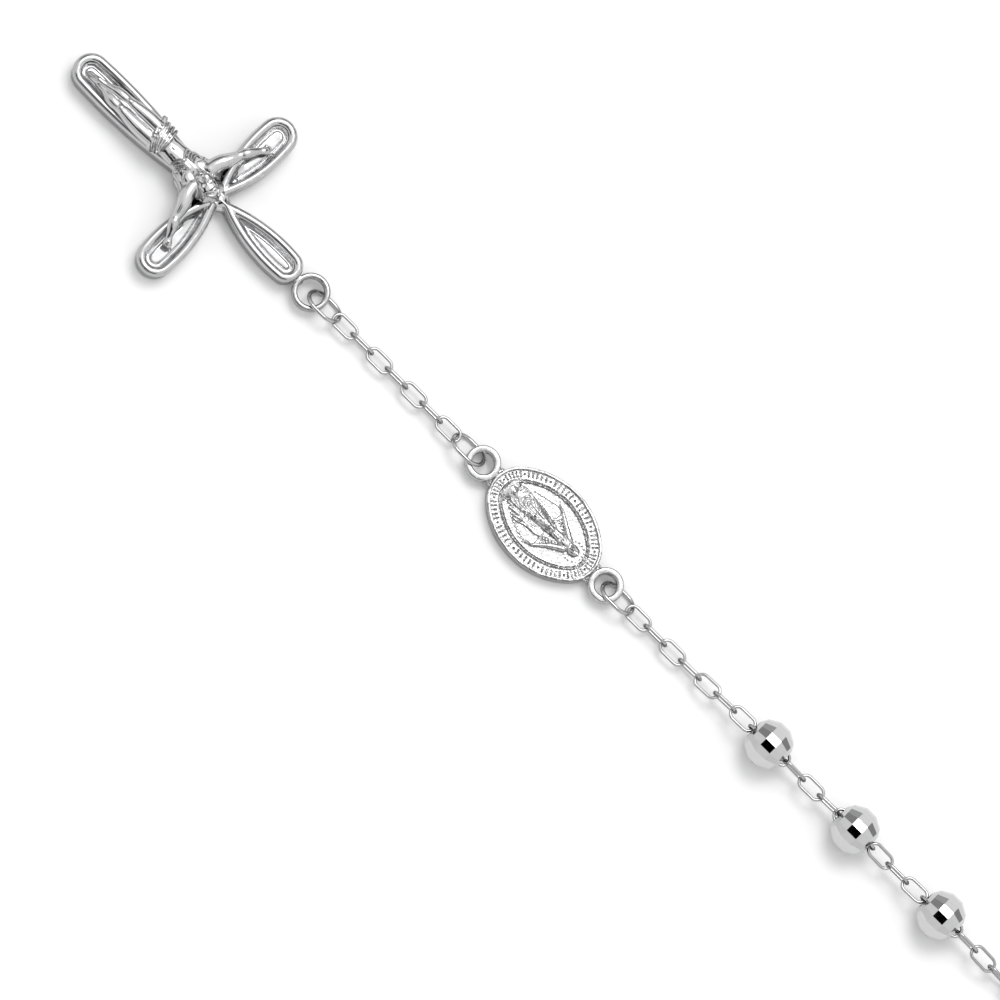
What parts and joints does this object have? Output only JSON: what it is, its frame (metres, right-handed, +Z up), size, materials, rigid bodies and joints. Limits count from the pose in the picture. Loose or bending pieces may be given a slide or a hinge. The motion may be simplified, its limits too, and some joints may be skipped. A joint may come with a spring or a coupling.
{
  "type": "rosary bracelet",
  "caption": "Rosary bracelet of white metal, laid flat: a crucifix and an oval medal hang on a short beaded strand of cable chain that joins a closed, beaded wrist loop with a clasp.",
  "frame": {"origin": "on the table, under the middle of the medal's back", "axes": "+X along the strand from the crucifix to the wrist loop, +Z up, away from the table, with the fronts of crucifix and medal up"},
  "size_m": [0.1752, 0.0587, 0.004],
  "materials": {
    "wire": "polished white metal",
    "faceted": "mirror-cut facets",
    "cross": "polished rims and a satin floor",
    "cast": "polished casting"
  },
  "bodies": {
    "root": {"cross": "cross", "corpus": "cast", "cross_jump_ring": "wire", "upper_chain": "wire", "medal_jump_ring_a": "wire", "medal": "cast", "medal_jump_ring_b": "wire", "strand_chain": "wire", "bead_01": "faceted", "bead_02": "faceted", "bead_03": "faceted", "junction_ring": "wire", "loop_chain": "wire", "bead_04": "faceted", "bead_05": "faceted", "bead_06": "faceted", "bead_07": "faceted", "bead_08": "faceted", "bead_09": "faceted", "bead_10": "faceted", "bead_11": "faceted", "bead_12": "faceted", "bead_13": "faceted", "clasp_ring": "wire", "clasp": "wire"}
  },
  "joints": []
}
